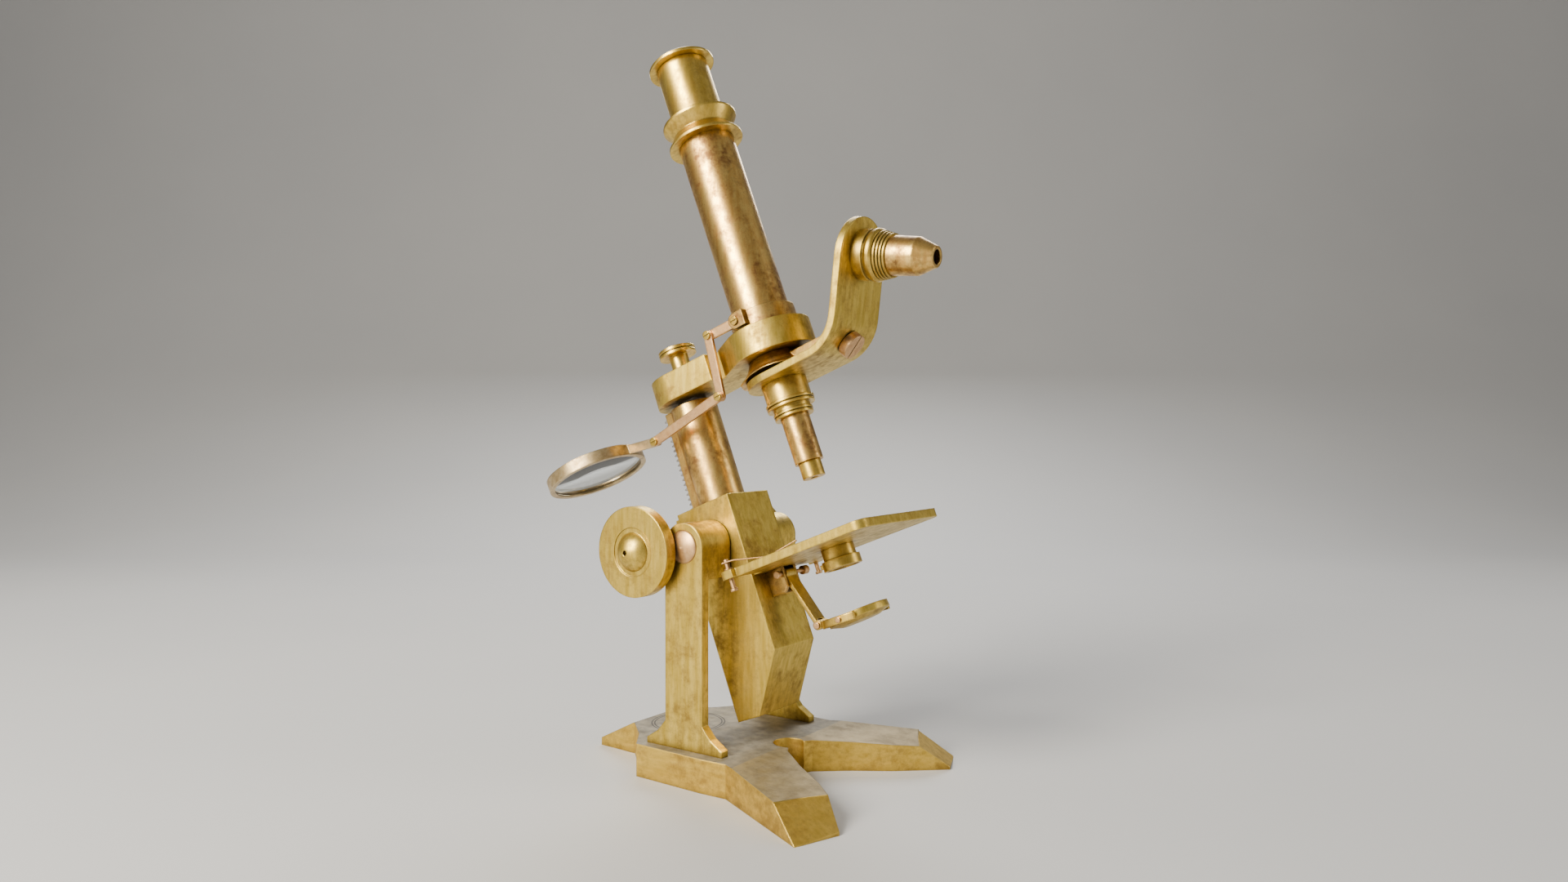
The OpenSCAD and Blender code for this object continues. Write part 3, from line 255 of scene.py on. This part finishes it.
# %% Brass finishes
def metal_material(name, metal, stain, bright, amount, streaks, edges, rough, stretch):
    """A worn metal; the colours are linear red, green and blue."""
    material = bpy.data.materials.new(name)
    material.use_nodes = True
    tree = material.node_tree
    shader = tree.nodes["Principled BSDF"]
    wear = new_node(tree, "ShaderNodeGroup", -400, 0, node_tree=WEAR)
    for socket, value in (
        ("Metal", (*metal, 1)), ("Stain", (*stain, 1)), ("Bright", (*bright, 1)),
        ("Stain Amount", amount), ("Streaks", streaks), ("Edges", edges),
        ("Roughness", rough), ("Stretch", stretch),
    ):
        wear.inputs[socket].default_value = value
    shader.inputs["Metallic"].default_value = 1
    tree.links.new(wear.outputs["Color"], shader.inputs["Base Color"])
    tree.links.new(wear.outputs["Roughness"], shader.inputs["Roughness"])
    tree.links.new(wear.outputs["Normal"], shader.inputs["Normal"])
    return material


UP = (1, 1, 0.12)
EVEN = (1, 1, 1)
golden = metal_material("golden brass", (0.56, 0.385, 0.055), (0.20, 0.115, 0.028),
                        (0.95, 0.71, 0.17), 0.75, 0.6, 0.85, 0.32, UP)
rosy = metal_material("rosy brass", (0.66, 0.38, 0.10), (0.15, 0.065, 0.025),
                      (0.97, 0.70, 0.22), 0.9, 0.6, 0.7, 0.23, UP)
yellow = metal_material("yellow tube brass", (0.64, 0.42, 0.07), (0.20, 0.105, 0.03),
                        (0.96, 0.71, 0.18), 0.65, 0.5, 0.7, 0.25, UP)
pink = metal_material("handled brass", (0.62, 0.35, 0.15), (0.20, 0.09, 0.04),
                      (0.92, 0.65, 0.34), 0.55, 0.4, 0.7, 0.33, EVEN)
silvery = metal_material("loupe brass", (0.50, 0.36, 0.17), (0.17, 0.09, 0.04),
                         (0.88, 0.72, 0.44), 0.6, 0.4, 0.6, 0.28, EVEN)
print("brasses:", [m.name for m in (golden, rosy, yellow, pink, silvery)])

# %% [markdown]
# The inside parts are plainer: dull steel for the rack, the pinion, the stem, the fine-focus
# nut and collar and the screws that hold the stand, box and stage, and matt black paint for
# the stop inside the eyepiece, which keeps stray light out.

# %% Steel and black paint
steel = metal_material("dull steel", (0.30, 0.29, 0.27), (0.10, 0.06, 0.04),
                       (0.60, 0.58, 0.55), 0.5, 0.3, 0.5, 0.42, EVEN)


def black_paint():
    """Matt black with slightly uneven sheen."""
    material = bpy.data.materials.new("black paint")
    material.use_nodes = True
    tree = material.node_tree
    shader = tree.nodes["Principled BSDF"]
    place = new_node(tree, "ShaderNodeTexCoord", -900, 0).outputs["Object"]
    speckle = noise(tree, place, -700, 0, 900, 4, 0.6)
    factor, first, second, out = mix_colour(tree, -400, 100)
    tree.links.new(speckle, factor)
    first.default_value = (0.008, 0.008, 0.008, 1)
    second.default_value = (0.03, 0.028, 0.025, 1)
    tree.links.new(out, shader.inputs["Base Color"])
    level = ramp(tree, -400, -150, -0.5, 1.2)
    tree.links.new(speckle, level.inputs["Value"])
    tree.links.new(level.outputs[0], shader.inputs["Roughness"])
    return material


black = black_paint()
print("dark finishes:", steel.name, "and", black.name)

# %% [markdown]
# The foot is one casting with two looks. Its sides are the same golden brass as the stand,
# while its broad top has lost its lacquer and gone a dusty grey beige, with faint streaks
# along the foot. A thin double ring is scribed on the top behind the pillars. The ring is
# only a hair deep, so it is painted from the distance to its centre instead of cut, and the
# grey is laid wherever the surface faces up.

# %% The foot's finish
RING_CENTRE = (-0.028, 0.0, 0.0151)
RING_RADII = (0.0165, 0.0179)


def foot_material():
    """Golden brass on the sides, dusty grey on top, with a scribed double ring."""
    material = metal_material("foot brass", (0.61, 0.40, 0.065), (0.22, 0.12, 0.03),
                              (0.92, 0.66, 0.15), 0.65, 0.5, 0.9, 0.40, (0.15, 1, 1))
    tree = material.node_tree
    link = tree.links.new
    shader = tree.nodes["Principled BSDF"]
    wear = next(n for n in tree.nodes if n.type == "GROUP")
    place = new_node(tree, "ShaderNodeTexCoord", -1500, 600).outputs["Object"]
    own = new_node(tree, "ShaderNodeNewGeometry", -1500, 300).outputs["Normal"]
    parts = new_node(tree, "ShaderNodeSeparateXYZ", -1300, 300)
    link(own, parts.inputs[0])
    faces_up = ramp(tree, -1100, 300, 0.985, 0.999)
    link(parts.outputs["Z"], faces_up.inputs["Value"])

    dust = noise(tree, place, -1300, 600, 140, 6, 0.65)
    patches = ramp(tree, -1100, 600, 0.34, 0.62)
    link(dust, patches.inputs["Value"])
    factor, dark, light, grey_out = mix_colour(tree, -900, 600)
    link(patches.outputs[0], factor)
    dark.default_value = (0.13, 0.11, 0.075, 1)
    light.default_value = (0.25, 0.215, 0.145, 1)

    away = new_node(tree, "ShaderNodeVectorMath", -1300, 900, operation="DISTANCE")
    link(place, away.inputs[0])
    away.inputs[1].default_value = RING_CENTRE
    line_masks = []
    for radius in RING_RADII:
        offset = new_node(tree, "ShaderNodeMath", -1100, 900, operation="SUBTRACT")
        link(away.outputs["Value"], offset.inputs[0])
        offset.inputs[1].default_value = radius
        size = new_node(tree, "ShaderNodeMath", -940, 900, operation="ABSOLUTE")
        link(offset.outputs[0], size.inputs[0])
        line = ramp(tree, -780, 900, 0.00045, 0.0002)
        link(size.outputs[0], line.inputs["Value"])
        line_masks.append(line.outputs[0])
    rings = new_node(tree, "ShaderNodeMath", -600, 900, operation="MAXIMUM")
    link(line_masks[0], rings.inputs[0])
    link(line_masks[1], rings.inputs[1])
    factor, first, second, top_out = mix_colour(tree, -420, 700)
    link(rings.outputs[0], factor)
    link(grey_out, first)
    second.default_value = (0.035, 0.028, 0.02, 1)

    factor, first, second, out = mix_colour(tree, -180, 400)
    link(faces_up.outputs[0], factor)
    link(wear.outputs["Color"], first)
    link(top_out, second)
    link(out, shader.inputs["Base Color"])

    dull = new_node(tree, "ShaderNodeMath", -180, 0, operation="MULTIPLY_ADD", use_clamp=True)
    link(faces_up.outputs[0], dull.inputs[0])
    dull.inputs[1].default_value = 0.22
    link(wear.outputs["Roughness"], dull.inputs[2])
    link(dull.outputs[0], shader.inputs["Roughness"])
    metal = ramp(tree, -180, 150, 1.4, 0)
    link(faces_up.outputs[0], metal.inputs["Value"])
    link(metal.outputs[0], shader.inputs["Metallic"])
    return material


foot_brass = foot_material()
print("foot finish:", len(foot_brass.node_tree.nodes), "nodes")

# %% [markdown]
# Glass and the silvered mirror. The lenses are clear and faintly green, with a breath of
# dust that only changes their roughness. The mirror is bright metal behind glass, with the
# silver slightly clouded.


# %% Glass and mirror
def clear_material(name, colour, metallic, transmission, rough_low, rough_high):
    """Glass or silvering, with roughness that varies a little over the surface."""
    material = bpy.data.materials.new(name)
    material.use_nodes = True
    tree = material.node_tree
    shader = tree.nodes["Principled BSDF"]
    place = new_node(tree, "ShaderNodeTexCoord", -900, 0).outputs["Object"]
    cloud = noise(tree, place, -700, 0, 180, 5, 0.6)
    factor, first, second, out = mix_colour(tree, -400, 100)
    tree.links.new(cloud, factor)
    first.default_value = (*colour, 1)
    second.default_value = (*[c * 0.93 for c in colour], 1)
    tree.links.new(out, shader.inputs["Base Color"])
    level = new_node(tree, "ShaderNodeMapRange", -400, -150)
    level.inputs["To Min"].default_value = rough_low
    level.inputs["To Max"].default_value = rough_high
    tree.links.new(cloud, level.inputs["Value"])
    tree.links.new(level.outputs[0], shader.inputs["Roughness"])
    shader.inputs["Metallic"].default_value = metallic
    shader.inputs["Transmission Weight"].default_value = transmission
    shader.inputs["IOR"].default_value = 1.5
    return material


glass = clear_material("lens glass", (0.93, 0.97, 0.96), 0, 1, 0.0, 0.04)
silver = clear_material("silvered mirror", (0.86, 0.87, 0.87), 1, 0, 0.02, 0.12)
print("glass:", glass.name, "mirror:", silver.name)

# %% [markdown]
# ## Dressing the parts
# Every part takes the finish of its own slot, and a few take a variation of it: the foot
# has its grey top, the draw tube, the eyepiece, the mirror's arm and the heads of the link
# screws are yellower than the body tube, and the ring of the magnifier is paler. The parts'
# own meshes are not touched.

# %% Assign the finishes
by_slot = {
    "stand_brass": golden, "knob_brass": golden, "tube_brass": rosy, "screw_brass": pink,
    "steel": steel, "blackened": black, "lens_glass": glass, "mirror_glass": silver,
}
by_node = {
    "foot": foot_brass, "draw_tube": yellow, "tube_collar": yellow, "eyepiece_body": yellow,
    "column_tube": rosy, "loupe_ring": silvery, "mirror_arm": yellow, "mirror_yoke": yellow,
    "substage_sleeve": yellow, "stop_ring": yellow, "long_front_cell": yellow,
    "long_collar": yellow, "short_collar": yellow, "fine_screw": yellow,
    "upper_link_screw": yellow, "middle_link_screw": yellow, "lower_link_screw": yellow,
    "ear_screw": yellow,
}
for name, part in nodes.items():
    part.data.materials.clear()
    part.data.materials.append(by_node.get(name, by_slot[slot_of[name]]))
print("dressed", len(nodes), "parts in", len(by_slot), "slots")

# %% [markdown]
# ## Glass
# A magnifier's lens is thick in the middle and thin at the rim, and a mirror for a
# microscope is slightly dished, to gather light from the window. Each curved face is a small
# cap of a big sphere, so the piece is made as a fine disc whose rings are raised or lowered
# to the height of that cap at their distance from the middle. Cutting big spheres with booleans
# would give the same shape with long thin faces that shade badly.


# %% A helper for turned discs
DISC_SIDES = 96
SMOOTH_BELOW = math.radians(35)
SAME_PLACE = 1e-6


def deselect():
    """Nothing stays selected before a new piece is added."""
    for o in bpy.context.selected_objects:
        o.select_set(False)


def select_ring(piece, radius, sign):
    """Selects the loop of vertices at one radius on one side of a disc being drawn."""
    bpy.ops.object.mode_set(mode="OBJECT")
    for v in piece.data.vertices:
        on_ring = abs(math.hypot(v.co.x, v.co.y) - radius) < SAME_PLACE
        v.select = on_ring and v.co.z * sign > 0
    for part in list(piece.data.edges) + list(piece.data.polygons):
        part.select = False
    for e in piece.data.edges:
        e.select = all(piece.data.vertices[i].select for i in e.vertices)
    bpy.ops.object.mode_set(mode="EDIT")


def turned_disc(name, rings, front, back, matrix):
    """A closed disc: front(r) and back(r) are the heights of its two faces at radius r."""
    deselect()
    radius = rings[-1]
    bpy.ops.mesh.primitive_cylinder_add(vertices=DISC_SIDES, radius=radius, depth=0.001,
                                        end_fill_type="NOTHING", location=(0, 0, 0))
    piece = bpy.context.object
    piece.name = name
    bpy.ops.object.mode_set(mode="EDIT")
    for sign in (1, -1):
        for r_outer, r_inner in zip(rings[::-1], rings[-2::-1]):
            select_ring(piece, r_outer, sign)
            bpy.ops.mesh.extrude_region_move()
            share = r_inner / r_outer
            bpy.ops.transform.resize(value=(share, share, 1), center_override=(0, 0, 0))
        select_ring(piece, rings[0], sign)
        bpy.ops.mesh.edge_face_add()
    bpy.ops.object.mode_set(mode="OBJECT")
    for v in piece.data.vertices:
        r = math.hypot(v.co.x, v.co.y)
        v.co.z = front(r) if v.co.z > 0 else back(r)
    piece.data.transform(matrix)
    bpy.ops.object.mode_set(mode="EDIT")
    bpy.ops.mesh.select_all(action="SELECT")
    bpy.ops.mesh.normals_make_consistent(inside=False)
    bpy.ops.object.mode_set(mode="OBJECT")
    bpy.ops.object.shade_smooth_by_angle(angle=SMOOTH_BELOW)
    return piece


def cap_height(radius, height):
    """The height of a spherical cap over its rim, as a function of the distance r."""
    ball = (radius * radius + height * height) / (2 * height)
    return lambda r: math.sqrt(ball * ball - min(r, radius) ** 2) - (ball - height)


def even_rings(radius, count):
    """The radii of evenly spaced rings, from the innermost to the rim."""
    return [radius * k / count for k in range(1, count + 1)]


print("disc helper ready")

# %% [markdown]
# The magnifier's lens is biconvex, held in its ring by the ledge under it. It stands for
# the plainer solid that the physics uses, and hangs from the ring's own body.

# %% The magnifier's lens
LOUPE_TILT = math.radians(28)
LENS_R = 0.0235
LENS_BULGE = 0.0013
LENS_HALF_EDGE = 0.0004
lens_low, lens_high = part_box("loupe_lens")
lens_centre = (lens_low + lens_high) / 2
bulge = cap_height(LENS_R, LENS_BULGE)
place = Matrix.Translation(lens_centre) @ Matrix.Rotation(-LOUPE_TILT, 4, "Y")
loupe_glass = turned_disc("loupe_glass", even_rings(LENS_R, 12),
                          lambda r: LENS_HALF_EDGE + bulge(r),
                          lambda r: -LENS_HALF_EDGE - bulge(r), place)
loupe_glass.data.materials.append(glass)
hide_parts("loupe_lens")
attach(loupe_glass, "loupe")
print("magnifier lens:", [round(d * 1000, 1) for d in loupe_glass.dimensions], "mm")

# %% [markdown]
# The mirror is a shallow dish, silvered on its face, and sits in the recess of its cell.

# %% The mirror's glass
MIRROR_R = 0.01285
MIRROR_HALF = 0.0008
DISH_DEPTH = 0.0006
MIRROR_TILT = LIMB_TILT + math.radians(5)
glass_low, glass_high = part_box("mirror_glass")
mirror_centre = (glass_low + glass_high) / 2
dish = cap_height(MIRROR_R, DISH_DEPTH)
place = Matrix.Translation(mirror_centre) @ Matrix.Rotation(-MIRROR_TILT, 4, "Y")
mirror_dish = turned_disc("mirror_dish", even_rings(MIRROR_R, 10),
                          lambda r: MIRROR_HALF - dish(r),
                          lambda r: -MIRROR_HALF, place)
mirror_dish.data.materials.append(silver)
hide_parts("mirror_glass")
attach(mirror_dish, "mirror")
print("mirror:", [round(d * 1000, 1) for d in mirror_dish.dimensions], "mm")

# %% [markdown]
# ## The view
# The camera stands in front of the microscope and to its right, at about half its height,
# and looks almost level, which shows the stand, the stage and both objectives at once. Its
# direction is given by three axes rather than by angles, so that nothing depends on the
# order of turning.

# %% The camera
EYE = Vector((0.30935, -0.40360, 0.16085))
FOCAL_LENGTH = 24.45
RIGHT = Vector((0.82165, 0.56999, 0.00022))
UPWARD = Vector((-0.00795, 0.01108, 0.99991))
FORWARD = Vector((-0.56993, 0.82158, -0.01364))
camera_data = bpy.data.cameras.new("camera")
camera_data.lens = FOCAL_LENGTH
camera_data.sensor_width = 36
camera_data.clip_start = 0.01
camera = bpy.data.objects.new("camera", camera_data)
bpy.context.scene.collection.objects.link(camera)
turn = Matrix((RIGHT, UPWARD, -FORWARD)).transposed()
camera.matrix_world = Matrix.Translation(EYE) @ turn.to_4x4()
bpy.context.scene.camera = camera
print("camera at", [round(v, 3) for v in camera.location], "lens", camera_data.lens, "mm")

# %% [markdown]
# ## Table and light
# The floor runs up into a wall with a wide curve, so that no line crosses behind the
# microscope. Brass shows its shape by what it reflects: one broad soft light high on the
# camera's left draws the long bright lines down the tubes, a weaker one on the right fills
# the stage side, and a third behind picks out the rims.

# %% The floor and its curved wall
FAR_SIDE = 1.9
FLOOR_WIDTH, FLOOR_DEPTH = 9, 5
WALL_HEIGHT = 3.5
CURVE_RADIUS, CURVE_STEPS = 1.1, 24
deselect()
bpy.ops.mesh.primitive_plane_add(size=1, location=(0, 0, 0))
floor = bpy.context.object
floor.name = "floor"
floor.data.transform(Matrix.Diagonal((FLOOR_WIDTH, FLOOR_DEPTH, 1, 1)))
floor.data.transform(Matrix.Translation((0, FAR_SIDE - FLOOR_DEPTH / 2, 0)))
bpy.ops.object.mode_set(mode="OBJECT")
for v in floor.data.vertices:
    v.select = v.co.y > 0
for e in floor.data.edges:
    e.select = all(floor.data.vertices[i].select for i in e.vertices)
for p in floor.data.polygons:
    p.select = False
bpy.ops.object.mode_set(mode="EDIT")
bpy.ops.mesh.select_mode(type="EDGE")
bpy.ops.mesh.extrude_region_move(TRANSFORM_OT_translate={"value": (0, 0, WALL_HEIGHT)})
bpy.ops.object.mode_set(mode="OBJECT")
curve = floor.modifiers.new("curve", "BEVEL")
curve.width = CURVE_RADIUS
curve.segments = CURVE_STEPS
curve.limit_method = "ANGLE"
bpy.ops.object.modifier_apply(modifier="curve")
bpy.ops.object.shade_smooth()
yaw = math.atan2(-FORWARD.x, FORWARD.y)
floor.data.transform(Matrix.Rotation(yaw, 4, "Z"))


def floor_material():
    """Pale matt paper with the faintest unevenness."""
    material = bpy.data.materials.new("pale paper")
    material.use_nodes = True
    tree = material.node_tree
    shader = tree.nodes["Principled BSDF"]
    position = new_node(tree, "ShaderNodeTexCoord", -900, 0).outputs["Object"]
    cloud = noise(tree, position, -700, 0, 3, 4, 0.5)
    factor, first, second, out = mix_colour(tree, -400, 100)
    tree.links.new(cloud, factor)
    first.default_value = (0.46, 0.46, 0.46, 1)
    second.default_value = (0.52, 0.515, 0.505, 1)
    tree.links.new(out, shader.inputs["Base Color"])
    shader.inputs["Roughness"].default_value = 0.85
    return material


floor.data.materials.append(floor_material())
print("floor:", len(floor.data.polygons), "faces")


# %% The lights
def soft_light(name, place, target, size, power, colour):
    """A rectangular area light at a place, aimed at a target."""
    data = bpy.data.lights.new(name, "AREA")
    data.shape = "RECTANGLE"
    data.size, data.size_y = size
    data.energy = power
    data.color = colour
    lamp = bpy.data.objects.new(name, data)
    bpy.context.scene.collection.objects.link(lamp)
    aim = Vector(target) - Vector(place)
    facing = aim.to_track_quat("-Z", "Y").to_matrix().to_4x4()
    lamp.matrix_world = Matrix.Translation(place) @ facing
    return lamp


MIDDLE = (0.02, 0, 0.16)
soft_light("key", (-0.2, -1.15, 0.75), MIDDLE, (0.5, 0.8), 46, (1, 0.94, 0.83))
soft_light("fill", (1.2, 0.65, 0.45), MIDDLE, (0.4, 1.0), 5, (1, 0.96, 0.9))
soft_light("back", (-0.6, 0.9, 0.9), MIDDLE, (0.9, 0.6), 16, (1, 1, 1))
world = bpy.data.worlds.new("room")
bpy.context.scene.world = world
world.use_nodes = True
world.node_tree.nodes["Background"].inputs["Color"].default_value = (0.86, 0.85, 0.84, 1)
world.node_tree.nodes["Background"].inputs["Strength"].default_value = 0.32
